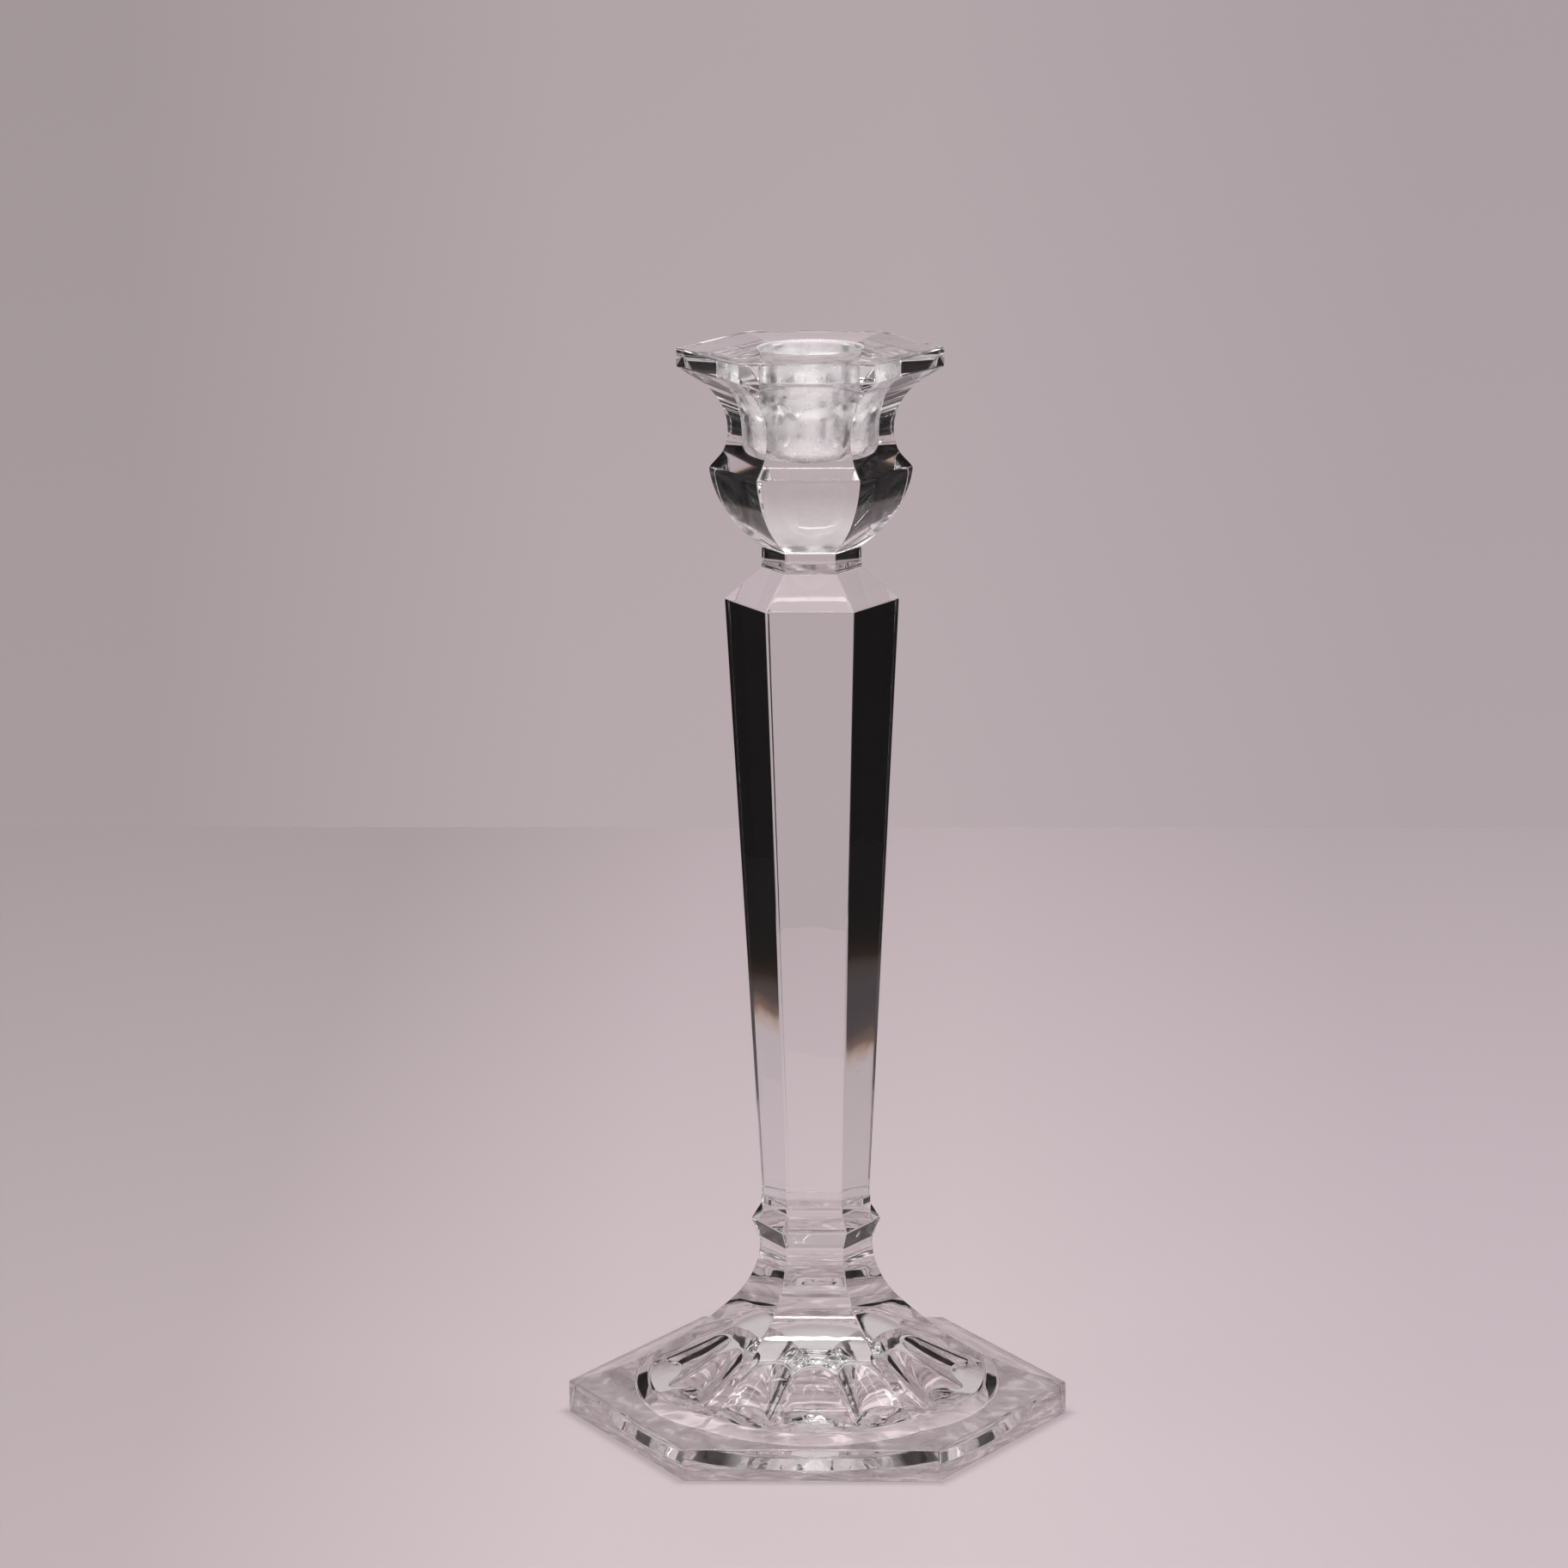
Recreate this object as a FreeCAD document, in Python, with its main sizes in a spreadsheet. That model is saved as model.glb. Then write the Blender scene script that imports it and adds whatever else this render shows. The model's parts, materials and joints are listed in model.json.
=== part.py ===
import FreeCAD, Part
import math
import os

import Sketcher

# A hexagonal cut-glass candlestick in three glass castings, bonded end to end:
#
#   candle_cup   neck, bulb, bell and rim, with the candle socket bored down from the rim
#   cup_bond     film of clear adhesive under the cup
#   column       the tall stem, widening upwards to a sloped shoulder
#   foot_bond    film of clear adhesive under the column
#   foot         edge, flare, ankle and knop, hollowed out underneath
#
# Millimetres, +Z up. The origin is the middle of the foot's underside, on the table.
# Corners of every hexagon lie on the X axis, so one flat of every hexagon faces -Y.

SIDES = 6
HOLLOW_SIDES = 12
HALF_TURN = 180.0

doc = FreeCAD.newDocument("candlestick")
sheet = doc.addObject("Spreadsheet::Sheet", "sizes")

# Every "across" is a width across the flats of a hexagon, and every "rise" is a height climbed.
SIZES = [
    ("foot_across", 101.7, "foot, at its edge"),
    ("foot_edge", 7.7, "height of the foot's upright edge"),
    ("flare_rise", 18.6, "from the edge up to the knee of the flare"),
    ("flare_radius", 63.5, "hollow curve from the edge to the knee"),
    ("knee_across", 38.4, "where the flare turns upwards"),
    ("ankle_rise", 15.2, "from the knee up to the ankle"),
    ("ankle_radius", 21.3, "hollow curve from the knee to the ankle"),
    ("ankle_across", 23.0, "narrowest part of the foot"),
    ("ankle_length", 1.9, "straight part of the ankle"),
    ("knop_under_rise", 4.4, "lower slope of the knop"),
    ("knop_across", 26.3, "edge of the knop"),
    ("knop_over_rise", 3.8, "upper slope of the knop"),
    ("collar_length", 1.9, "straight collar over the knop"),
    ("collar_ledge", 0.15, "how far the collar stands out past the column, all round"),
    ("recess_diameter", 80.0, "round recess under the foot, which leaves a rim to stand on"),
    ("recess_cove", 3.0, "how far the sloping wall of the recess runs in"),
    ("recess_depth", 3.0, "depth of the recess at the top of that wall"),
    ("recess_tilt", 11.3, "tilt of its ceiling, up towards the middle, in degrees"),
    ("hollow_across", 66.4, "twelve-sided hollow, at the depth of the recess"),
    ("hollow_lean", 55.0, "lean of the hollow's sides, in degrees from upright"),
    ("pad_rise", 1.45, "how far a rounded pad stands out from each of those sides"),
    ("pad_radius", 17.0, "radius of the pads"),
    ("dome_height", 16.0, "middle of the hollow's domed ceiling, above the table"),
    ("dome_radius", 50.0, "radius of that dome"),
    ("bond_film", 0.1, "thickness of each film of adhesive"),
    ("bond_margin", 0.2, "how far each film stays inside the glass, all round"),
    ("column_foot_across", 22.0, "column, where it stands on the foot"),
    ("column_rise", 142.2, "from the foot joint up to the shoulder"),
    ("column_head_across", 34.9, "column, at its shoulder"),
    ("shoulder_rise", 7.4, "slope from the shoulder in to the cup joint"),
    ("neck_joint_across", 20.4, "joint between the column and the cup"),
    ("neck_lip_rise", 0.6, "small lip at the bottom of the neck"),
    ("neck_across", 19.9, "neck of the cup"),
    ("neck_length", 4.2, "straight part of the neck"),
    ("bulb_rise", 17.6, "from the neck up to the edge of the bulb"),
    ("bulb_radius", 27.0, "bulging curve of the bulb"),
    ("bulb_across", 40.4, "edge of the bulb"),
    ("bulb_band", 0.8, "upright band at that edge"),
    ("bulb_top_rise", 3.4, "slope from the bulb's edge in to the waist"),
    ("bulb_top_across", 35.0, "where that slope meets the bell"),
    ("bell_rise", 16.7, "from the bulb's slope up to the bell's mouth"),
    ("bell_radius", 14.2, "hollow curve of the bell, around the waist"),
    ("bell_across", 44.6, "where the bell turns out under the rim"),
    ("rim_under_rise", 3.0, "slope under the rim"),
    ("rim_across", 53.0, "rim of the cup"),
    ("rim_edge", 4.4, "upright edge of the rim"),
    ("socket_diameter", 23.0, "candle socket"),
    ("socket_depth", 27.0, "candle socket, below the rim's top face"),
    ("socket_round", 5.0, "rounding between the socket's wall and floor"),
    ("socket_lead", 0.5, "small bevel at the socket's mouth"),
]

for row, (alias, value, note) in enumerate(SIZES, start=1):
    sheet.set(f"A{row}", note)
    sheet.set(f"B{row}", str(value))
    sheet.setAlias(f"B{row}", alias)
doc.recompute()


def total(*names):
    """Sheet cells added up, as an expression."""
    return " + ".join(f"sizes.{name}" for name in names)


def half(name, extra="0"):
    """Half a width, as an expression."""
    return f"sizes.{name} / 2 + {extra}"


def value_of(expression):
    return float(sheet.evalExpression(expression))


def vector(point):
    return FreeCAD.Vector(point[0], point[1], 0)


def stretch(start, end, radius, bulges):
    """Line, or arc of that radius, from start to end, with the numbers of its two ends."""
    if radius is None:
        return Part.LineSegment(vector(start), vector(end)), (1, 2)
    run = vector(end) - vector(start)
    middle = (vector(start) + vector(end)) / 2
    left = FreeCAD.Vector(-run.y, run.x, 0).normalize()
    reach = math.sqrt(radius**2 - (run.Length / 2) ** 2)
    centre = middle + left * (reach if bulges else -reach)
    angles = [math.atan2(p[1] - centre.y, p[0] - centre.x) for p in (start, end)]
    circle = Part.Circle(centre, FreeCAD.Vector(0, 0, 1), radius)
    if bulges:
        return Part.ArcOfCircle(circle, angles[0], angles[1]), (1, 2)
    return Part.ArcOfCircle(circle, angles[1], angles[0]), (2, 1)


def draw_silhouette(sketch, outline):
    """Close a sketch symmetrical about its vertical axis.

    outline climbs the right-hand side. Each entry is (half width, height, radius, bulges):
    the last two describe the arc that leads up to the point, and radius None is a straight line.
    """
    points = [(value_of(across), value_of(height)) for across, height, _, _ in outline]
    sides = []
    for mirror in (1, -1):
        side = []
        for (start, end), (_, _, radius, bulges) in zip(zip(points, points[1:]), outline[1:]):
            number = None if radius is None else value_of(radius)
            start, end = (start[0] * mirror, start[1]), (end[0] * mirror, end[1])
            curve, ends = stretch(start, end, number, bulges == (mirror > 0))
            side.append((sketch.addGeometry(curve, False), ends))
        sides.append(side)
    right, left = sides
    bottom = sketch.addGeometry(Part.LineSegment(vector((-points[0][0], 0)), vector(points[0])), False)
    top_left, top_right = vector((-points[-1][0], points[-1][1])), vector(points[-1])
    top = sketch.addGeometry(Part.LineSegment(top_left, top_right), False)

    def join(first, first_end, second, second_end):
        sketch.addConstraint(Sketcher.Constraint("Coincident", first, first_end, second, second_end))

    for side, corner in ((right, 2), (left, 1)):
        join(bottom, corner, side[0][0], side[0][1][0])
        join(top, corner, side[-1][0], side[-1][1][1])
        for (lower, lower_ends), (upper, upper_ends) in zip(side, side[1:]):
            join(lower, lower_ends[1], upper, upper_ends[0])

    corners = [(right[0][0], right[0][1][0], left[0][0], left[0][1][0])]
    for (geometry, ends), (mirrored, mirrored_ends) in zip(right, left):
        corners.append((geometry, ends[1], mirrored, mirrored_ends[1]))
    for level, (geometry, end, mirrored, mirrored_end) in enumerate(corners):
        across, height, radius, _ = outline[level]
        sketch.addConstraint(Sketcher.Constraint("Symmetric", geometry, end, mirrored, mirrored_end, -2))
        bind(sketch, f"half_width_{level}", "DistanceX", (-1, 1, geometry, end), across)
        if level == 0:
            sketch.addConstraint(Sketcher.Constraint("PointOnObject", geometry, end, -1))
        else:
            bind(sketch, f"height_{level}", "DistanceY", (-1, 1, geometry, end), height)
        if radius is not None:
            bind(sketch, f"radius_{level}", "Radius", (geometry,), radius)
            sketch.addConstraint(Sketcher.Constraint("Equal", geometry, mirrored))


def bind(sketch, name, kind, items, expression):
    """Add a named sketch dimension that follows the sheet."""
    index = sketch.addConstraint(Sketcher.Constraint(kind, *items, value_of(expression)))
    sketch.renameConstraint(index, name)
    sketch.setExpression(f"Constraints.{name}", expression)


def upright(turn):
    """Placement of a drawing that stands on the table, turned about the vertical axis."""
    stand = FreeCAD.Rotation(FreeCAD.Vector(1, 0, 0), 90)
    swing = FreeCAD.Rotation(FreeCAD.Vector(0, 0, 1), turn)
    return FreeCAD.Placement(FreeCAD.Vector(0, 0, 0), swing * stand)


def cut_glass(name, widest, outline):
    """A hexagonal piece: what three long bars of one silhouette share, 60 degrees apart."""
    bars = []
    for count in range(SIDES // 2):
        turn = (count + 0.5) * HALF_TURN / (SIDES // 2)
        sketch = doc.addObject("Sketcher::SketchObject", f"{name}_silhouette_{count}")
        draw_silhouette(sketch, outline)
        sketch.Placement = upright(turn)
        bar = doc.addObject("Part::Extrusion", f"{name}_bar_{count}")
        bar.Base = sketch
        bar.DirMode = "Normal"
        bar.Solid = True
        bar.Symmetric = True
        bar.setExpression("LengthFwd", f"2 * sizes.{widest}")
        bars.append(bar)
    glass = doc.addObject("Part::MultiCommon", f"{name}_glass")
    glass.Shapes = bars
    return glass


def climb(steps):
    """Outline from (width, extra half width, rises so far, radius, bulges) steps."""
    return [
        (half(width, extra), total(*rises) if rises else "0", radius and f"sizes.{radius}", bulges)
        for width, extra, rises, radius, bulges in steps
    ]


# --- foot -------------------------------------------------------------------------------------

FOOT_LEVELS = ["foot_edge", "flare_rise", "ankle_rise", "ankle_length",
               "knop_under_rise", "knop_over_rise", "collar_length"]
foot_height = total(*FOOT_LEVELS)
recess_top = "sizes.recess_diameter / 2 - sizes.recess_cove"


def build_foot():
    ledge = "sizes.collar_ledge"
    glass = cut_glass("foot", "foot_across", climb([
        ("foot_across", "0", [], None, False),
        ("foot_across", "0", FOOT_LEVELS[:1], None, False),
        ("knee_across", "0", FOOT_LEVELS[:2], "flare_radius", False),
        ("ankle_across", "0", FOOT_LEVELS[:3], "ankle_radius", False),
        ("ankle_across", "0", FOOT_LEVELS[:4], None, False),
        ("knop_across", "0", FOOT_LEVELS[:5], None, False),
        ("column_foot_across", ledge, FOOT_LEVELS[:6], None, False),
        ("column_foot_across", ledge, FOOT_LEVELS, None, False),
    ]))
    recess = doc.addObject("Part::Cone", "foot_recess")
    recess.setExpression("Radius1", half("recess_diameter"))
    recess.setExpression("Radius2", recess_top)
    recess.setExpression("Height", "sizes.recess_depth")
    ceiling = doc.addObject("Part::Cone", "recess_ceiling")
    ceiling.setExpression("Radius1", recess_top)
    ceiling.Radius2 = 0
    ceiling.setExpression("Height", f"({recess_top}) * tan(sizes.recess_tilt)")
    ceiling.setExpression("Placement.Base.z", "sizes.recess_depth")

    underside = doc.addObject("Part::MultiFuse", "foot_underside")
    underside.Shapes = [recess, ceiling, build_hollow()]
    foot = doc.addObject("Part::Cut", "foot")
    foot.Base = glass
    foot.Tool = underside
    return foot


def build_hollow():
    """Twelve-sided funnel under a dome, with a long rounded pad down the middle of each side."""
    rings = []
    for end, level in (("mouth", "sizes.recess_depth"), ("top", "sizes.dome_height")):
        ring = doc.addObject("Part::RegularPolygon", f"hollow_{end}")
        ring.Polygon = HOLLOW_SIDES
        flat = f"(sizes.hollow_across / 2 - ({level} - sizes.recess_depth) * tan(sizes.hollow_lean))"
        ring.setExpression("Circumradius", f"{flat} / cos({HALF_TURN / HOLLOW_SIDES})")
        ring.Placement.Rotation = FreeCAD.Rotation(FreeCAD.Vector(0, 0, 1), HALF_TURN / HOLLOW_SIDES)
        ring.setExpression("Placement.Base.z", level)
        rings.append(ring)
    funnel = doc.addObject("Part::Loft", "hollow_funnel")
    funnel.Sections = rings
    funnel.Solid = True
    funnel.Ruled = True
    dome = doc.addObject("Part::Sphere", "hollow_dome")
    dome.setExpression("Radius", "sizes.dome_radius")
    dome.setExpression("Placement.Base.z", "sizes.dome_height - sizes.dome_radius")
    hollow = doc.addObject("Part::MultiCommon", "hollow_room")
    hollow.Shapes = [funnel, dome]

    # Each pad is a cylinder that lies along its side, sunk into the glass up to the pad's rise.
    sunk = "(sizes.pad_radius - sizes.pad_rise)"
    away = f"(sizes.hollow_across / 2 + {sunk} * cos(sizes.hollow_lean))"
    level = f"(sizes.recess_depth + {sunk} * sin(sizes.hollow_lean))"
    reach = "sizes.hollow_across / 2"
    back = f"{reach} / 3"
    for side in range(HOLLOW_SIDES):
        turn = 2 * HALF_TURN / HOLLOW_SIDES * side
        pad = doc.addObject("Part::Cylinder", f"pad_{side}")
        pad.setExpression("Radius", "sizes.pad_radius")
        pad.setExpression("Height", f"{reach} / sin(sizes.hollow_lean) + {back}")
        start = f"({away} + {back} * sin(sizes.hollow_lean))"
        low = f"({level} - {back} * cos(sizes.hollow_lean))"
        place = f"vector({start} * cos({turn}); {start} * sin({turn}); {low})"
        pad.setExpression("Placement", f"placement({place}; rotation({turn}; -sizes.hollow_lean; 0))")
        padded = doc.addObject("Part::Cut", f"hollow_{side}")
        padded.Base = hollow
        padded.Tool = pad
        hollow = padded
    return hollow


# --- column -----------------------------------------------------------------------------------

column_seat = f"{foot_height} + sizes.bond_film"
column_height = total("column_rise", "shoulder_rise")


def build_column():
    column = cut_glass("column", "column_head_across", climb([
        ("column_foot_across", "0", [], None, False),
        ("column_head_across", "0", ["column_rise"], None, False),
        ("neck_joint_across", "0", ["column_rise", "shoulder_rise"], None, False),
    ]))
    column.Label = "column"
    column.setExpression("Placement.Base.z", column_seat)
    return column


# --- candle cup -------------------------------------------------------------------------------

CUP_LEVELS = ["neck_lip_rise", "neck_length", "bulb_rise", "bulb_band",
              "bulb_top_rise", "bell_rise", "rim_under_rise", "rim_edge"]
cup_seat = f"{column_seat} + {column_height} + sizes.bond_film"
cup_height = total(*CUP_LEVELS)


def build_socket():
    """Round socket with a rounded floor and a small bevel at its mouth, as a turned solid."""
    wall = half("socket_diameter")
    floor = f"{cup_height} - sizes.socket_depth"
    points = [
        ("0", floor),
        (f"{wall} - sizes.socket_round", floor),
        (wall, f"{floor} + sizes.socket_round"),
        (wall, f"{cup_height} - sizes.socket_lead"),
        (f"{wall} + sizes.socket_lead", cup_height),
        ("0", cup_height),
    ]
    numbers = [(value_of(across), value_of(height)) for across, height in points]
    sketch = doc.addObject("Sketcher::SketchObject", "socket_section")
    edges = []
    for index, (start, end) in enumerate(zip(numbers, numbers[1:] + numbers[:1])):
        radius = value_of("sizes.socket_round") if index == 1 else None
        curve, _ = stretch(start, end, radius, True)
        edges.append(sketch.addGeometry(curve, False))
    for first, second in zip(edges, edges[1:] + edges[:1]):
        sketch.addConstraint(Sketcher.Constraint("Coincident", first, 2, second, 1))
    for index, (edge, (across, height)) in enumerate(zip(edges, points)):
        if across == "0":
            sketch.addConstraint(Sketcher.Constraint("PointOnObject", edge, 1, -2))
        else:
            bind(sketch, f"half_width_{index}", "DistanceX", (-1, 1, edge, 1), across)
        bind(sketch, f"height_{index}", "DistanceY", (-1, 1, edge, 1), height)
    bind(sketch, "floor_round", "Radius", (edges[1],), "sizes.socket_round")
    sketch.Placement = upright(0)
    socket = doc.addObject("Part::Revolution", "socket")
    socket.Source = sketch
    socket.Axis = FreeCAD.Vector(0, 0, 1)
    socket.Angle = 2 * HALF_TURN
    socket.Solid = True
    return socket


def build_cup():
    glass = cut_glass("cup", "rim_across", climb([
        ("neck_joint_across", "0", [], None, False),
        ("neck_across", "0", CUP_LEVELS[:1], None, False),
        ("neck_across", "0", CUP_LEVELS[:2], None, False),
        ("bulb_across", "0", CUP_LEVELS[:3], "bulb_radius", True),
        ("bulb_across", "0", CUP_LEVELS[:4], None, False),
        ("bulb_top_across", "0", CUP_LEVELS[:5], None, False),
        ("bell_across", "0", CUP_LEVELS[:6], "bell_radius", False),
        ("rim_across", "0", CUP_LEVELS[:7], None, False),
        ("rim_across", "0", CUP_LEVELS, None, False),
    ]))
    cup = doc.addObject("Part::Cut", "candle_cup")
    cup.Base = glass
    cup.Tool = build_socket()
    cup.setExpression("Placement.Base.z", cup_seat)
    return cup


# --- adhesive films ---------------------------------------------------------------------------


def build_bond(name, across, seat):
    """Thin hexagonal film between two castings, a little smaller than the narrower of them."""
    film = doc.addObject("Part::Prism", name)
    film.Polygon = SIDES
    inside = f"({half(across)} - sizes.bond_margin)"
    film.setExpression("Circumradius", f"{inside} / cos({HALF_TURN / SIDES})")
    film.setExpression("Height", "sizes.bond_film")
    film.setExpression("Placement.Base.z", seat)
    return film


parts = [
    build_foot(),
    build_bond("foot_bond", "column_foot_across", foot_height),
    build_column(),
    build_bond("cup_bond", "neck_joint_across", f"{column_seat} + {column_height}"),
    build_cup(),
]
doc.recompute()

for item in doc.Objects:
    if "Invalid" in item.State or "Error" in item.State:
        raise RuntimeError(f"{item.Name} could not be built: {item.State}")
for part in parts:
    if part.Shape.isNull() or not part.Shape.isValid() or len(part.Shape.Solids) != 1:
        raise RuntimeError(f"{part.Label} is not one valid solid")

os.makedirs("parts", exist_ok=True)
for part in parts:
    part.Shape.exportStep(f"parts/{part.Label}.step")
    box = part.Shape.BoundBox
    print(f"{part.Label:12s} z {box.ZMin:8.3f} to {box.ZMax:8.3f}  volume {part.Shape.Volume:10.1f} mm3")
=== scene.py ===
import json
import math

import bpy
import numpy as np
from mathutils import Matrix, Vector


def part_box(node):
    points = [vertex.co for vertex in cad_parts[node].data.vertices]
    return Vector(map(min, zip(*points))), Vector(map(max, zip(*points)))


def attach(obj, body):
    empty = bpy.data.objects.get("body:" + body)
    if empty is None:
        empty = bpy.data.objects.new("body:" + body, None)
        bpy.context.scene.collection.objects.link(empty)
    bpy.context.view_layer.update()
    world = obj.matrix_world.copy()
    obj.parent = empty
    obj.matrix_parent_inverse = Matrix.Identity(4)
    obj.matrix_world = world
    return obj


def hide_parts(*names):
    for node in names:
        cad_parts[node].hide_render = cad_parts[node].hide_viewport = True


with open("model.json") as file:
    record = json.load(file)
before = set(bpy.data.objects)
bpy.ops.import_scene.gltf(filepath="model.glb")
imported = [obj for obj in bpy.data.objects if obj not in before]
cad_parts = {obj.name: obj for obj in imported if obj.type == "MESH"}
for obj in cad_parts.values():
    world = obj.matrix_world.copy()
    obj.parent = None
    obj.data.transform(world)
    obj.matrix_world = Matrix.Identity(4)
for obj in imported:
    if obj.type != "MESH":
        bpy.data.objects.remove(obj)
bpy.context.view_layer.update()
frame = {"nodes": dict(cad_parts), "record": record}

MM = 0.001
SIDES = 6
CORNER_STEPS = 6            # points round each softened corner of a hexagon
CORNER_RADIUS = 0.45        # softening of the upright corners of the foot and the cup, mm
COLUMN_CORNER_RADIUS = 0.9  # and of the column's
KNEE_STEPS = 6              # points round each softened knee of a silhouette
ARC_SPACING = 0.8           # distance between points along a silhouette's arc, mm
FOOT_FLAT_STEPS = 42        # points along each side of a hexagon, for each casting
COLUMN_FLAT_STEPS = 10
CUP_FLAT_STEPS = 18
FOOT_FILL_RINGS = 3         # between the foot's round recess and its hexagonal edge
RIM_FILL_RINGS = 4          # between the cup's hexagonal rim and its round socket
HALVINGS = 40               # steps in the search for the place where two heights cross


# ------------------------------------------------------------------------------------------
# Silhouettes. Each knee is (width across flats, height above the piece's own base, arc that
# leads up to it, softening), in millimetres. A positive arc bulges and a negative one is hollow.
# ------------------------------------------------------------------------------------------

FOOT_KNEES = [
    (101.7, 0.0, None, 0.5),
    (101.7, 7.7, None, 0.5),
    (38.4, 26.3, -63.5, 3.5),
    (23.0, 41.5, -21.3, 1.0),
    (23.0, 43.4, None, 0.7),
    (26.3, 47.8, None, 0.35),
    (22.3, 51.6, None, 0.3),
    (22.3, 53.5, None, 0.25),
]
COLUMN_KNEES = [
    (22.0, 0.0, None, 0.25),
    (34.9, 142.2, None, 0.35),
    (20.4, 149.6, None, 0.25),
]
CUP_KNEES = [
    (20.4, 0.0, None, 0.2),
    (19.9, 0.6, None, 0.25),
    (19.9, 4.8, None, 0.5),
    (40.4, 22.4, 27.0, 0.38),
    (40.4, 23.2, None, 0.38),
    (35.0, 26.6, None, 1.2),
    (44.6, 43.3, -14.2, 0.8),
    (53.0, 46.3, None, 0.4),
    (53.0, 50.7, None, 0.55),
]

# Underside of the foot, in millimetres and degrees: a recess, and in it a hollow with padded sides.
RECESS_DIAMETER, RECESS_COVE, RECESS_DEPTH, RECESS_TILT = 80.0, 3.0, 3.0, 11.3
RECESS_MARGIN = 1.5         # flat ring round the recess, before the rings turn into hexagons
HOLLOW_SIDES, HOLLOW_ACROSS, HOLLOW_LEAN = 12, 66.4, 55.0
PAD_RISE, PAD_RADIUS = 1.45, 17.0
DOME_HEIGHT, DOME_RADIUS = 16.0, 50.0
DOME_POINTS = 24
TIP_RADIUS = 0.3            # where the dome's rings start, round its tip
ARCH_SOFTENING, MOUTH_SOFTENING, COVE_SOFTENING, RIM_SOFTENING = 0.7, 0.4, 0.8, 0.5
ARCH_SEARCH = (5.0, 28.0)   # the arch over a side lies between these distances from the axis
MOUTH_SEARCH = 20.0         # and the hollow's mouth lies beyond this one

# Candle socket, in millimetres.
SOCKET_DEPTH, SOCKET_ROUND = 27.0, 5.0
SOCKET_LEAD = 0.5           # how much wider the mouth is than the wall, and about how deep
SOCKET_LIP = 0.3            # flat ring round the mouth
SOCKET_WALL_START = 1.2     # depth at which the straight wall starts
SOCKET_STEPS = 10           # rings along the wall, and again round the bend into the floor
SOCKET_FLOOR_STEP = 2.0     # distance between the rings on its floor


def direction(angle):
    """Unit vector at an angle from +X."""
    return np.array([math.cos(angle), math.sin(angle)])


def stretch(start, end, radius):
    """Point at each share of the way from start to end, along a line or an arc, and its length."""
    start, end = np.array(start, float), np.array(end, float)
    chord = np.linalg.norm(end - start)
    if radius is None:
        return lambda share: start + (end - start) * share, chord
    left = np.array([start[1] - end[1], end[0] - start[0]]) / chord
    reach = math.sqrt(radius * radius - chord * chord / 4)
    centre = (start + end) / 2 + left * math.copysign(reach, radius)
    across, up = start - centre
    first = math.atan2(up, across)
    sweep = math.copysign(2 * math.asin(chord / 2 / abs(radius)), radius)

    def on_arc(share):
        return centre + abs(radius) * direction(first + sweep * share)
    return on_arc, abs(radius * sweep)


def rounded(begin, knee, finish):
    """Points that round a knee off, from begin to finish, without those two."""
    points = []
    for step in range(1, KNEE_STEPS):
        share = step / KNEE_STEPS
        near = begin + (knee - begin) * share
        far = knee + (finish - knee) * share
        points.append(near + (far - near) * share)
    return points


def silhouette(knees, arc_points=None):
    """Dense (half width, height) points through the knees, each knee softened by a small curve.

    The first and last knees are softened too, from and to the flat end of the piece. Each arc
    gets arc_points steps, or one for each ARC_SPACING.
    """
    corners = [np.array((across / 2, height)) for across, height, _, _ in knees]
    soft = [knee[3] for knee in knees]
    walks = [stretch(a, b, knee[2]) for a, b, knee in zip(corners, corners[1:], knees[1:])]
    points = [corners[0] - (soft[0], 0)]
    for index, (walk, length) in enumerate(walks):
        low, high = soft[index] / length, 1 - soft[index + 1] / length
        points += rounded(points[-1], corners[index], walk(low))
        curved = knees[index + 1][2] is not None
        count = (arc_points or max(2, round(length / ARC_SPACING))) if curved else 1
        points += [walk(low + (high - low) * step / count) for step in range(count + 1)]
    end = corners[-1] - (soft[-1], 0)
    return points + rounded(points[-1], corners[-1], end) + [end]


def hexagon(half_width, height, flat_steps, corner=CORNER_RADIUS):
    """Ring of points, millimetres: a hexagon with softened corners, the first corner on +X."""
    turn = math.tau / SIDES
    spoke = (half_width - corner) / math.cos(turn / 2)
    ring = []
    for side in range(SIDES):
        middle = turn * side
        centre, next_centre = spoke * direction(middle), spoke * direction(middle + turn)
        for step in range(CORNER_STEPS + 1):
            ring.append(centre + corner * direction(middle + turn * (step / CORNER_STEPS - 0.5)))
        out = corner * direction(middle + turn / 2)
        for step in range(1, flat_steps):
            ring.append(centre + (next_centre - centre) * (step / flat_steps) + out)
    return np.array([(x, y, height) for x, y in ring])


def circle(radius, height, flat_steps):
    """Ring with as many points as hexagon() gives, evenly spaced, in step with it."""
    count = SIDES * (CORNER_STEPS + flat_steps)
    turn = (np.arange(count) - CORNER_STEPS / 2) * math.tau / count
    return np.stack([radius * np.cos(turn), radius * np.sin(turn), np.full(count, height)], 1)


def between(first, last, count):
    """Rings from first to last, without those two."""
    return [first + (last - first) * step / (count + 1) for step in range(1, count + 1)]


# Material slots of the castings. The mould left the last one's surface, which the column lacks.
POLISHED_SLOT, JOINED_SLOT, MOULDED_SLOT = 0, 1, 2


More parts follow.
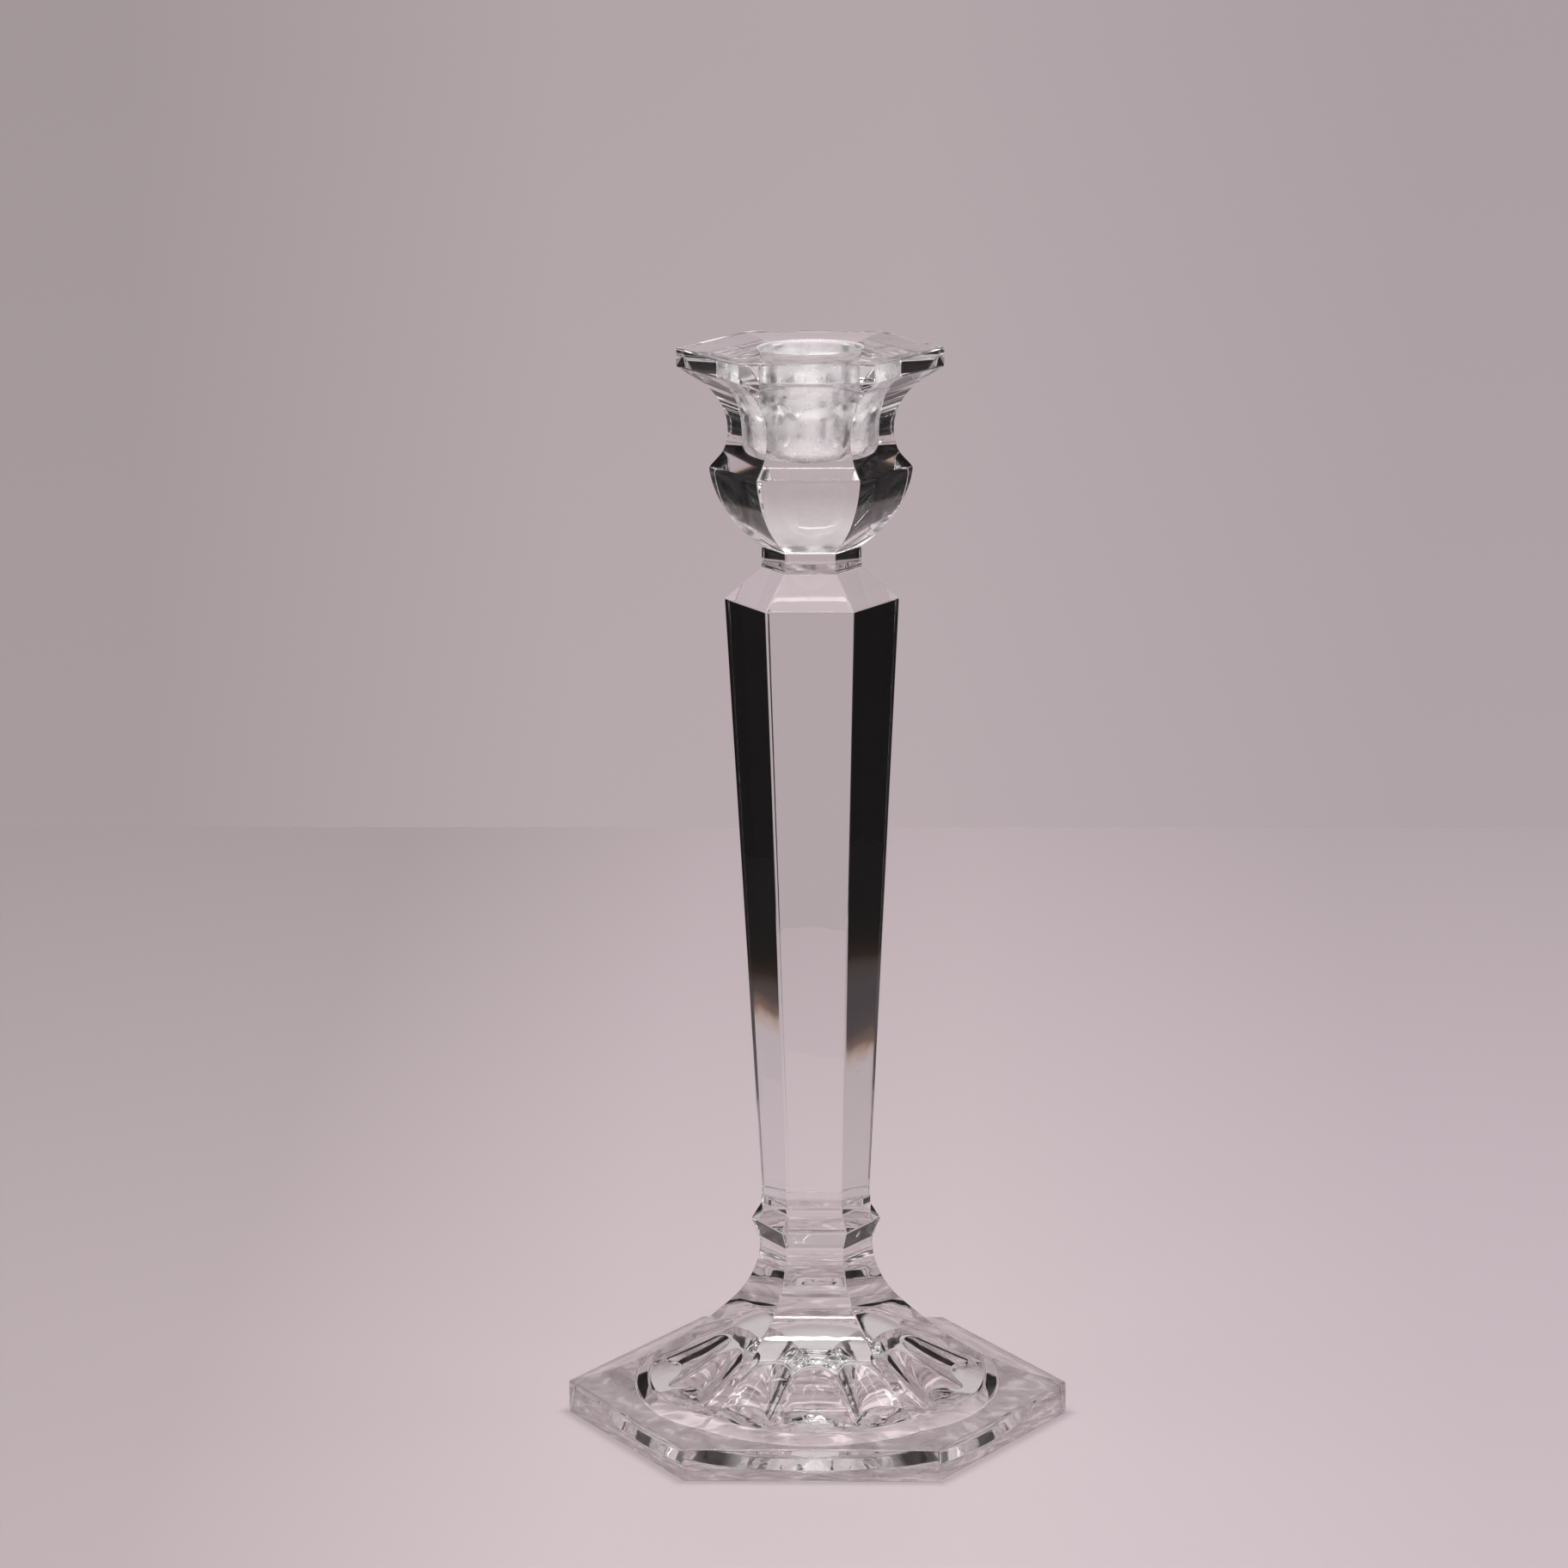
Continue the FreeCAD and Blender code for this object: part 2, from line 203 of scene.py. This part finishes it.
def skin(name, rings, base, caps, slots=None):
    """Mesh object through the rings, lifted by base mm, with a "face" or a "tip" at each end.

    slots gives a material slot for each band of faces. A face at an end is always a joined one.
    """
    count = len(rings[0])
    slots = slots or [POLISHED_SLOT] * (len(rings) - 1)
    points = np.concatenate(rings)
    faces, marks = [], []
    for band, slot in enumerate(slots):
        low, high = band * count, (band + 1) * count
        for here in range(count):
            after = (here + 1) % count
            faces.append((low + here, low + after, high + after, high + here))
            marks.append(slot)
    for end, kind in enumerate(caps):
        start = end * (len(rings) - 1) * count
        ring = list(range(start, start + count))
        if kind == "face":
            faces.append(tuple(ring if end else reversed(ring)))
            marks.append(JOINED_SLOT)
            continue
        tip = len(points)
        points = np.concatenate([points, rings[-end].mean(0)[None]])
        for here in range(count):
            after = (here + 1) % count
            pair = (ring[here], ring[after]) if end else (ring[after], ring[here])
            faces.append((tip, *pair))
            marks.append(slots[-end])
    points = (points + np.array([0, 0, base])) * MM
    mesh = bpy.data.meshes.new(name)
    mesh.from_pydata(points.tolist(), [], faces)
    mesh.polygons.foreach_set("material_index", marks)
    mesh.polygons.foreach_set("use_smooth", [mark != JOINED_SLOT for mark in marks])
    mesh.update()
    piece = bpy.data.objects.new(name, mesh)
    bpy.context.scene.collection.objects.link(piece)
    normals = piece.modifiers.new("even facets", "WEIGHTED_NORMAL")
    normals.mode = "FACE_AREA"
    normals.weight = 50
    normals.keep_sharp = True
    return piece


# ------------------------------------------------------------------------------------------
# Materials
# ------------------------------------------------------------------------------------------

GLASS_IOR = 1.53
GLASS_COLOUR = (0.99, 0.989, 0.989, 1)
FROST_START, FROST_FULL = 0.006, 0.002      # depths in the socket where frost starts and is full, m


def new_material(name):
    """New node material, with its nodes, its links and its Principled shader."""
    material = bpy.data.materials.new(name)
    material.use_nodes = True
    nodes, links = material.node_tree.nodes, material.node_tree.links
    return material, nodes, links, nodes["Principled BSDF"]


def map_range(nodes, links, value, source, target, smooth=True):
    """value taken from the source range to the target range, which it doesn't leave."""
    node = nodes.new("ShaderNodeMapRange")
    node.interpolation_type = "SMOOTHSTEP" if smooth else "LINEAR"
    node.inputs["From Min"].default_value, node.inputs["From Max"].default_value = source
    node.inputs["To Min"].default_value, node.inputs["To Max"].default_value = target
    links.new(value, node.inputs["Value"])
    return node.outputs["Result"]


def noise_node(nodes, links, where, scale, detail=2.0, distortion=0.0):
    """Noise over the places that where gives."""
    node = nodes.new("ShaderNodeTexNoise")
    node.inputs["Scale"].default_value = scale
    node.inputs["Detail"].default_value = detail
    node.inputs["Distortion"].default_value = distortion
    links.new(where, node.inputs["Vector"])
    return node.outputs["Fac"]


def rippled_glass(name, scale, detail, height):
    """Clear glass whose surface waves by height, metres. Gives its place and noise too."""
    material, nodes, links, shader = new_material(name)
    shader.inputs["Base Color"].default_value = GLASS_COLOUR
    shader.inputs["Transmission Weight"].default_value = 1.0
    shader.inputs["IOR"].default_value = GLASS_IOR
    shader.inputs["Roughness"].default_value = 0.0
    where = nodes.new("ShaderNodeTexCoord").outputs["Object"]
    noise = noise_node(nodes, links, where, scale, detail)
    bump = nodes.new("ShaderNodeBump")
    bump.inputs["Strength"].default_value = 1.0
    bump.inputs["Distance"].default_value = height
    links.new(noise, bump.inputs["Height"])
    links.new(bump.outputs["Normal"], shader.inputs["Normal"])
    return material, nodes, links, shader, where, noise


def clear_glass():
    """Polished crystal, with the faint waviness of hand-finished faces."""
    return rippled_glass("clear_glass", scale=90.0, detail=2.0, height=0.00002)[0]


def pressed_glass():
    """Glass as it came from the mould: slightly rippled, never polished."""
    return rippled_glass("pressed_glass", scale=110.0, detail=3.0, height=0.00012)[0]


def hazy_socket_painted_glow(mouth):
    """Socket wall: pressed glass, frosted towards its mouth, under a mottled painted glow: emission that
    stands in for light caught in the crystal.
    """
    glass = rippled_glass("hazy_socket_painted_glow", scale=220.0, detail=3.0, height=0.00014)
    material, nodes, links, shader, where, noise = glass
    haze = map_range(nodes, links, noise, (0.35, 0.7), (0.10, 0.45))
    split = nodes.new("ShaderNodeSeparateXYZ")
    links.new(where, split.inputs[0])
    frosted = (mouth - FROST_START, mouth - FROST_FULL)
    frost = map_range(nodes, links, split.outputs["Z"], frosted, (0.0, 1.0))
    clear = map_range(nodes, links, frost, (0.0, 1.0), (0.84, 0.62))
    # painted glow: faint emission in patches, though the socket is no lamp
    painted_glow = map_range(nodes, links, noise, (0.46, 0.66), (0.0, 0.07))
    links.new(haze, shader.inputs["Roughness"])
    links.new(clear, shader.inputs["Transmission Weight"])
    shader.inputs["Emission Color"].default_value = (1.0, 0.98, 0.97, 1)
    links.new(painted_glow, shader.inputs["Emission Strength"])
    return material


def joined_face():
    """Adhesive, and the faces it wets: light goes straight on, as in one piece of glass."""
    material, nodes, links, shader = new_material("joined_face")
    nodes.remove(shader)
    where = nodes.new("ShaderNodeTexCoord").outputs["Object"]
    flow = noise_node(nodes, links, where, scale=300.0)
    clearness = map_range(nodes, links, flow, (0.0, 1.0), (0.96, 1.0), smooth=False)
    clear = nodes.new("ShaderNodeBsdfTransparent")
    links.new(clearness, clear.inputs["Color"])
    links.new(clear.outputs["BSDF"], nodes["Material Output"].inputs["Surface"])
    return material


def dress(piece, *materials):
    """Adds the materials in the order of their slots. Faces keep their slots, as nothing is cleared."""
    for material in materials:
        piece.data.materials.append(material)


GLASS, JOINED, PRESSED = clear_glass(), joined_face(), pressed_glass()
SOCKET = hazy_socket_painted_glow(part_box("candle_cup")[1][2])


# ------------------------------------------------------------------------------------------
# Pieces
# ------------------------------------------------------------------------------------------

def base_of(node):
    """Height of the bottom of a CAD node, mm."""
    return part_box(node)[0][2] / MM


def crossing(first, second, low, high):
    """Place between low and high where the first height stops being above the second."""
    for _ in range(HALVINGS):
        middle = (low + high) / 2
        if first(middle) > second(middle):
            low = middle
        else:
            high = middle
    return middle


def underside(turn, reach):
    """Silhouette under the foot in one direction, from the middle out to reach.

    A dome, then one of the twelve padded sides that cut it, then the recess and its cove.
    """
    slice_angle = math.tau / HOLLOW_SIDES
    aside = (turn + slice_angle / 2) % slice_angle - slice_angle / 2
    lean, tilt = math.radians(HOLLOW_LEAN), math.radians(RECESS_TILT)
    ring = RECESS_DIAMETER / 2 - RECESS_COVE

    def dome(away):
        return DOME_HEIGHT - DOME_RADIUS + math.sqrt(DOME_RADIUS**2 - away**2)

    def side(away):
        sideways = away * math.sin(aside)
        pad = max(0, PAD_RISE - PAD_RADIUS + math.sqrt(PAD_RADIUS**2 - sideways**2))
        flat = (HOLLOW_ACROSS / 2 - away * math.cos(aside)) / math.tan(lean)
        return RECESS_DEPTH + flat - pad / math.sin(lean)

    def ceiling(away):
        return RECESS_DEPTH + (ring - away) * math.tan(tilt)

    arch = crossing(side, dome, *ARCH_SEARCH)
    mouth = crossing(side, ceiling, MOUTH_SEARCH, ring)
    outline = silhouette([
        (2 * TIP_RADIUS, dome(TIP_RADIUS), None, 0.0),
        (2 * arch, dome(arch), -DOME_RADIUS, ARCH_SOFTENING),
        (2 * mouth, ceiling(mouth), None, MOUTH_SOFTENING),
        (2 * ring, RECESS_DEPTH, None, COVE_SOFTENING),
        (RECESS_DIAMETER, 0.0, None, RIM_SOFTENING),
        (2 * reach, 0.0, None, 0.0),
    ], arc_points=DOME_POINTS)
    return outline[KNEE_STEPS:-KNEE_STEPS]      # the two ends have no softening


def make_foot():
    """Foot: a hexagonal outside, joined under its edge to rings that follow the underside."""
    outside = [hexagon(half, height, FOOT_FLAT_STEPS) for half, height in silhouette(FOOT_KNEES)]
    reach = RECESS_DIAMETER / 2 + RECESS_MARGIN
    turns = [math.atan2(y, x) for x, y, _ in circle(1.0, 0, FOOT_FLAT_STEPS)]
    under = np.array([underside(turn, reach) for turn in turns])
    along = np.stack([np.cos(turns), np.sin(turns)], 1)
    field = [np.column_stack([along * ring[:, :1], ring[:, 1]]) for ring in under.transpose(1, 0, 2)]
    inside = field + between(field[-1], outside[0], FOOT_FILL_RINGS)
    slots = [MOULDED_SLOT] * len(inside) + [POLISHED_SLOT] * (len(outside) - 1)
    piece = skin("foot_glass", inside + outside, base_of("foot"), ("tip", "face"), slots)
    dress(piece, GLASS, JOINED, PRESSED)
    return piece


def make_column():
    """Column: solid, with both ends bonded."""
    rings = [hexagon(half, height, COLUMN_FLAT_STEPS, COLUMN_CORNER_RADIUS)
             for half, height in silhouette(COLUMN_KNEES)]
    piece = skin("column_glass", rings, base_of("column"), ("face", "face"))
    dress(piece, GLASS, JOINED)
    return piece


def socket_outline(wall, top):
    """(radius, height) points down the socket: a lead-in, a straight wall and a rounded floor."""
    floor = top - SOCKET_DEPTH
    start, bend = top - SOCKET_WALL_START, floor + SOCKET_ROUND
    lead = [(SOCKET_LEAD, 0.08), (SOCKET_LEAD * 0.6, 0.3), (0.1, SOCKET_LEAD + 0.1)]
    outline = [(wall + out, top - down) for out, down in lead]
    outline += [(wall, start - (start - bend) * step / SOCKET_STEPS) for step in range(SOCKET_STEPS + 1)]
    for step in range(1, SOCKET_STEPS + 1):
        inward, upward = 1 - direction(math.pi / 2 * step / SOCKET_STEPS)
        outline.append((wall - SOCKET_ROUND * inward, floor + SOCKET_ROUND * upward))
    return outline + [(wall - SOCKET_ROUND - SOCKET_FLOOR_STEP * step, floor) for step in (1, 2, 3)]


def make_cup():
    """Cup: a hexagonal outside, then the rim's flat top, then the round socket."""
    rings = [hexagon(half, height, CUP_FLAT_STEPS) for half, height in silhouette(CUP_KNEES)]
    top = CUP_KNEES[-1][1]
    mount = next(m for m in frame["record"]["mounts"] if m["name"] == "candle_socket")
    wall = mount["dims"]["r_mm"]
    mouth = circle(wall + SOCKET_LEAD + SOCKET_LIP, top, CUP_FLAT_STEPS)
    rings += between(rings[-1], mouth, RIM_FILL_RINGS) + [mouth]
    socket = [circle(radius, height, CUP_FLAT_STEPS) for radius, height in socket_outline(wall, top)]
    slots = [POLISHED_SLOT] * (len(rings) - 1) + [MOULDED_SLOT] * len(socket)
    piece = skin("cup_glass", rings + socket, base_of("candle_cup"), ("face", "tip"), slots)
    dress(piece, GLASS, JOINED, SOCKET)
    return piece


for make, node in ((make_foot, "foot"), (make_column, "column"), (make_cup, "candle_cup")):
    piece = make()
    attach(piece, "root")
    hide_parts(node)
    piece.visible_shadow = False
for node in ("foot_bond", "cup_bond"):
    film = frame["nodes"][node]
    film.data.materials.clear()
    dress(film, JOINED)


# ------------------------------------------------------------------------------------------
# Stage: pale paper, lit softly from above. Only the glass sees the dark room round it, which is
# what draws its facets. Distances are in metres.
# ------------------------------------------------------------------------------------------

BLACK, WHITE = (0, 0, 0, 1), (1, 1, 1, 1)
PALE_WALL = (0.450, 0.382, 0.400, 1)
PALE_HIGH = (0.62, 0.565, 0.575, 1)         # the same wall, higher up
PALE_FLOOR = (0.531, 0.468, 0.485, 1)
ROOM = (0.009, 0.008, 0.008, 1)
ROOM_HIGH = (0.28, 0.26, 0.26, 1)

PAPER_BEHIND = 0.62         # the paper's far edge, where the backdrop starts
PAPER_FRONT = 1.2
PAPER_MIDDLE = 0.012        # X of the middle between its two dark sides
PAPER_SIDES = [             # by distance from that middle: paper, its amber edge, dark wood
    (0.303, PALE_FLOOR), (0.318, (0.46, 0.36, 0.30, 1)), (0.328, (0.16, 0.09, 0.06, 1)),
    (0.343, (0.03, 0.022, 0.02, 1)), (0.376, ROOM),
]
SIDES_BEHIND = (0.05, 0.15)         # Y over which the dark sides fade in, behind the object
PAINTED_CAUSTICS = [                          # painted caustics: patches of painted light and shade on the paper, by noise
    (0.33, (0.30, 0.28, 0.28, 1)), (0.45, (0.62, 0.60, 0.59, 1)),
    (0.57, (0.68, 0.66, 0.65, 1)), (0.66, (1.3, 1.3, 1.3, 1)),
]
PAINTED_CAUSTICS_AROUND = (0.17, 0.14)        # distances from the axis over which they grow to half strength
PAINTED_CAUSTICS_BENEATH = (0.042, 0.026)     # and, under the foot, to full strength
CONTACT_WIDTH, CONTACT_SHADE = 0.0035, 0.74     # reach of the shade round the foot, and the light it leaves
FLOOR_SPREAD = (0.0, 0.17)          # middle and reach of the light on the paper, m
WALL_SPREAD = (-0.035, 0.115)       # and of that on the wall, radians
WALL_FOOT, WALL_FOOT_GAIN = (-0.10, -0.22), 1.065       # the wall brightens down towards the table
VIGNETTE = [
    (0.05, (0.81, 0.81, 0.80, 1)), (0.35, (0.98, 0.98, 0.98, 1)),
    (0.60, (1.0, 1.0, 1.0, 1)), (0.95, (0.90, 0.90, 0.92, 1)),
]
PAPER_ANGLES = [            # degrees from straight behind: white where the glass sees paper
    (19, WHITE), (22, BLACK), (74, BLACK), (80, WHITE), (100, WHITE), (106, BLACK),
]
REAR_ANGLES = [(0, BLACK), (78, BLACK), (100, WHITE), (180, WHITE)]
ROOM_BEHIND = [             # the lit, cluttered room behind the camera, by noise
    (0.42, (0.03, 0.028, 0.027, 1)), (0.50, (0.40, 0.37, 0.37, 1)), (0.60, (1.4, 1.35, 1.35, 1)),
]


def math_node(nodes, links, operation, first, second=None, clamp=False):
    """Sum, product and so on of numbers or outputs."""
    node = nodes.new("ShaderNodeMath")
    node.operation = operation
    node.use_clamp = clamp
    for slot, value in enumerate((first, second)):
        if value is None:
            continue
        if isinstance(value, (int, float)):
            node.inputs[slot].default_value = value
        else:
            links.new(value, node.inputs[slot])
    return node.outputs[0]


def ramp_node(nodes, links, factor, stops):
    """Colour ramp through (place, colour) stops."""
    node = nodes.new("ShaderNodeValToRGB")
    elements = node.color_ramp.elements
    while len(elements) < len(stops):
        elements.new(0.5)
    for element, (place, colour) in zip(elements, stops):
        element.position = place
        element.color = colour
    links.new(factor, node.inputs["Fac"])
    return node.outputs["Color"]


def by_angle(stops):
    """Ramp stops given in degrees, as shares of half a turn."""
    return [(degrees / 180, colour) for degrees, colour in stops]


def mix_colours(nodes, links, factor, first, second, blend="MIX"):
    """Mix of two colours, each a colour or an output."""
    node = nodes.new("ShaderNodeMix")
    node.data_type = "RGBA"
    node.blend_type = blend
    if isinstance(factor, float):
        node.inputs["Factor"].default_value = factor
    else:
        links.new(factor, node.inputs["Factor"])
    for name, value in (("A", first), ("B", second)):
        if isinstance(value, tuple):
            node.inputs[name].default_value = value
        else:
            links.new(value, node.inputs[name])
    return node.outputs["Result"]


def multiply(nodes, links, first, second):
    """Product of two colours, each a colour or an output."""
    return mix_colours(nodes, links, 1.0, first, second, "MULTIPLY")


def vignette(nodes, links, across, middle, reach):
    """Gentle fall of the light towards the sides of the picture."""
    place = map_range(nodes, links, across, (middle - reach, middle + reach), (0.0, 1.0), smooth=False)
    return ramp_node(nodes, links, place, VIGNETTE)


def contact_shade(nodes, links, split):
    """Narrow shade along the hexagonal edge where the foot meets the table."""
    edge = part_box("foot")[1][1]
    farthest = math_node(nodes, links, "ABSOLUTE", split.outputs["Y"])
    upward = math_node(nodes, links, "MULTIPLY", split.outputs["Y"], math.sin(math.pi / SIDES))
    for lean in (math.cos(math.pi / SIDES), -math.cos(math.pi / SIDES)):
        slanted = math_node(nodes, links, "MULTIPLY", split.outputs["X"], lean)
        facing = math_node(nodes, links, "ABSOLUTE", math_node(nodes, links, "ADD", slanted, upward))
        farthest = math_node(nodes, links, "MAXIMUM", farthest, facing)
    gap = math_node(nodes, links, "ABSOLUTE", math_node(nodes, links, "SUBTRACT", farthest, edge))
    return map_range(nodes, links, gap, (0.0, CONTACT_WIDTH), (CONTACT_SHADE, 1.0))


def painted_caustics(nodes, links, where, unseen):
    """Painted caustics: painted light and shade on the paper under the foot and round it, which only the
    glass sees.
    """
    caustic_noise = noise_node(nodes, links, where, scale=120.0, detail=1.0, distortion=1.5)
    away = nodes.new("ShaderNodeVectorMath")
    away.operation = "LENGTH"
    links.new(where, away.inputs[0])
    beneath, around = (map_range(nodes, links, away.outputs["Value"], distances, (0.0, 0.5))
                       for distances in (PAINTED_CAUSTICS_BENEATH, PAINTED_CAUSTICS_AROUND))
    share = math_node(nodes, links, "MULTIPLY", math_node(nodes, links, "ADD", beneath, around), unseen)
    return mix_colours(nodes, links, share, WHITE, ramp_node(nodes, links, caustic_noise, PAINTED_CAUSTICS))


def make_floor():
    """Paper on the table. Beyond its sides, the glass sees dark wood where the camera sees paper."""
    reach = PAPER_BEHIND
    corners = [(-reach, -PAPER_FRONT, 0), (reach, -PAPER_FRONT, 0), (reach, reach, 0), (-reach, reach, 0)]
    mesh = bpy.data.meshes.new("floor")
    mesh.from_pydata(corners, [], [(0, 1, 2, 3)])
    floor = bpy.data.objects.new("floor", mesh)
    bpy.context.scene.collection.objects.link(floor)
    material, nodes, links, shader = new_material("pale_paper")
    shader.inputs["Roughness"].default_value = 0.9
    shader.inputs["Specular IOR Level"].default_value = 0.1
    where = nodes.new("ShaderNodeTexCoord").outputs["Object"]
    split = nodes.new("ShaderNodeSeparateXYZ")
    links.new(where, split.inputs[0])
    side = math_node(nodes, links, "SUBTRACT", split.outputs["X"], PAPER_MIDDLE)
    side = math_node(nodes, links, "ABSOLUTE", side)
    edge = ramp_node(nodes, links, side, PAPER_SIDES)
    behind = map_range(nodes, links, split.outputs["Y"], SIDES_BEHIND, (0.0, 1.0))
    seen = nodes.new("ShaderNodeLightPath").outputs["Is Camera Ray"]
    unseen = math_node(nodes, links, "SUBTRACT", 1.0, seen)
    paper = mix_colours(nodes, links, math_node(nodes, links, "MULTIPLY", unseen, behind), PALE_FLOOR, edge)
    # painted light and shade of the glass's caustics, which only the glass sees
    lit = multiply(nodes, links, paper, painted_caustics(nodes, links, where, unseen))
    dimmed = multiply(nodes, links, lit, vignette(nodes, links, split.outputs["X"], *FLOOR_SPREAD))
    shaded = multiply(nodes, links, dimmed, contact_shade(nodes, links, split))
    links.new(shaded, shader.inputs["Base Color"])
    mesh.materials.append(material)


def make_world():
    """Backdrop for the camera, and what the glass sees in its place.

    That is pale paper straight behind and at each side, and otherwise a dark room, which is lit
    and cluttered high up behind the camera.
    """
    world = bpy.data.worlds.new("studio")
    bpy.context.scene.world = world
    world.use_nodes = True
    nodes, links = world.node_tree.nodes, world.node_tree.links
    where = nodes.new("ShaderNodeTexCoord").outputs["Generated"]
    split = nodes.new("ShaderNodeSeparateXYZ")
    links.new(where, split.inputs[0])
    turn = math_node(nodes, links, "ARCTAN2", split.outputs["X"], split.outputs["Y"])
    share = math_node(nodes, links, "DIVIDE", math_node(nodes, links, "ABSOLUTE", turn), math.pi)
    climb = math_node(nodes, links, "ARCSINE", split.outputs["Z"])
    climb = math_node(nodes, links, "DIVIDE", climb, math.pi / 2, clamp=True)

    dark = ramp_node(nodes, links, climb, [(0.0, ROOM), (0.5, ROOM), (0.62, ROOM_HIGH), (1.0, ROOM_HIGH)])
    clutter = noise_node(nodes, links, where, scale=3.5)
    lit = ramp_node(nodes, links, clutter, ROOM_BEHIND)
    above = map_range(nodes, links, climb, (0.12, 0.2), (0.0, 1.0))
    rear = math_node(nodes, links, "MULTIPLY", ramp_node(nodes, links, share, by_angle(REAR_ANGLES)), above)
    room = mix_colours(nodes, links, rear, dark, lit)
    higher = map_range(nodes, links, climb, (0.05, 0.3), (0.0, 1.0))
    pale = mix_colours(nodes, links, higher, PALE_WALL, PALE_HIGH)
    paper = ramp_node(nodes, links, share, by_angle(PAPER_ANGLES))
    round_glass = mix_colours(nodes, links, paper, room, pale)

    wall = multiply(nodes, links, PALE_WALL, vignette(nodes, links, turn, *WALL_SPREAD))
    lower = map_range(nodes, links, split.outputs["Z"], WALL_FOOT, (1.0, WALL_FOOT_GAIN), smooth=False)
    wall = multiply(nodes, links, wall, lower)
    seen = nodes.new("ShaderNodeLightPath").outputs["Is Camera Ray"]
    colour = mix_colours(nodes, links, seen, round_glass, wall)
    links.new(colour, nodes["Background"].inputs["Color"])


def add_light(name, place, target, size, watts, colour, mirrored=False):
    """Rectangular soft light. Only the mirrored ones show as highlights in the glass."""
    light = bpy.data.lights.new(name, "AREA")
    light.shape = "RECTANGLE"
    light.size, light.size_y = size
    light.energy = watts
    light.color = colour
    lamp = bpy.data.objects.new(name, light)
    lamp.location = place
    aim = Vector(target) - Vector(place)
    lamp.rotation_euler = aim.to_track_quat("-Z", "Y").to_euler()
    lamp.visible_glossy = lamp.visible_transmission = mirrored
    bpy.context.scene.collection.objects.link(lamp)


make_floor()
make_world()

STRIP_HEIGHT, STRIP_LENGTH = 0.80, 0.7
STRIP_COLOUR = (1, 0.97, 0.97)
STRIPS = [                  # name, Y, width and watts
    ("front_strip", -0.2925, 0.035, 1.3),
    ("overhead_strip", -0.12, 0.03, 0.18),
    ("back_strip", 0.09, 0.03, 0.4),
]
for name, y, width, watts in STRIPS:
    place, below = (0, y, STRIP_HEIGHT), (0, y, 0)
    add_light(name, place, below, (STRIP_LENGTH, width), watts, STRIP_COLOUR, mirrored=True)
add_light("front_soft", (0.2, -1.0, 1.3), (0, 0.1, 0.0), (0.9, 0.6), 13.0, (1, 0.97, 1.0))
add_light("back_soft", (0.1, 0.5, 1.4), (0, 0.2, 0.0), (1.0, 0.6), 6.0, (1, 0.97, 0.98))


# ------------------------------------------------------------------------------------------
# Camera
# ------------------------------------------------------------------------------------------

CAMERA_PLACE = (0.0422, -1.4081, 0.464)
HEADING, DOWNWARD, ROLL = 1.99, 12.482, -0.442      # degrees
LENS, SENSOR_WIDTH = 143.3, 36                      # mm

camera_data = bpy.data.cameras.new("camera")
camera_data.lens = LENS
camera_data.sensor_width = SENSOR_WIDTH
camera = bpy.data.objects.new("camera", camera_data)
bpy.context.scene.collection.objects.link(camera)
heading = Matrix.Rotation(math.radians(HEADING), 4, "Z")
pitch = Matrix.Rotation(math.radians(90 - DOWNWARD), 4, "X")
roll = Matrix.Rotation(math.radians(ROLL), 4, "Z")
camera.matrix_world = Matrix.Translation(CAMERA_PLACE) @ heading @ pitch @ roll
bpy.context.scene.camera = camera
bpy.context.scene.view_settings.view_transform = "Standard"
cycles = bpy.context.scene.cycles
cycles.max_bounces = 24
cycles.transmission_bounces = 20
cycles.glossy_bounces = 8
cycles.transparent_max_bounces = 24
